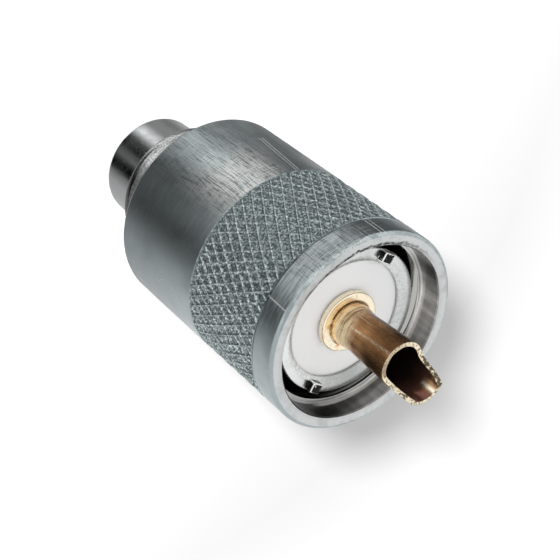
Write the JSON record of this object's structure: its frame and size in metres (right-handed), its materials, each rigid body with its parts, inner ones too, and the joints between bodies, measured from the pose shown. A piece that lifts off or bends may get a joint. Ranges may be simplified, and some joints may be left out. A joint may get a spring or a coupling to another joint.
{
  "type": "coaxial cable plug",
  "caption": "Coaxial cable plug with a knurled coupling ring, two keying teeth, a white insulator and a hollow centre pin with an open solder tip.",
  "frame": {"origin": "centre of the tail's flat rear end, on the surface that the plug stands on", "axes": "+Z along the plug's axis towards the pin's tip; the two keying teeth lie on the Y axis"},
  "size_m": [0.0182, 0.0182, 0.0404],
  "materials": {
    "polished_nickel": "bright nickel plate on turned brass",
    "white_insulator": "smooth waxy white fluoropolymer",
    "tarnished_brass": "tarnished brown brass, bright where it was cut",
    "satin_nickel": "dull nickel plate with lengthwise draw marks and a diamond knurl"
  },
  "bodies": {
    "plug": {"plug_body": "polished_nickel", "insulator": "white_insulator", "centre_contact": "tarnished_brass"},
    "coupling": {"coupling_ring": "satin_nickel"}
  },
  "joints": [
    {"name": "ring_spin", "type": "hinge", "parent": "plug", "child": "coupling", "pos_m": [0, 0, 0.0214], "axis": [0, 0, 1], "continuous": true}
  ]
}
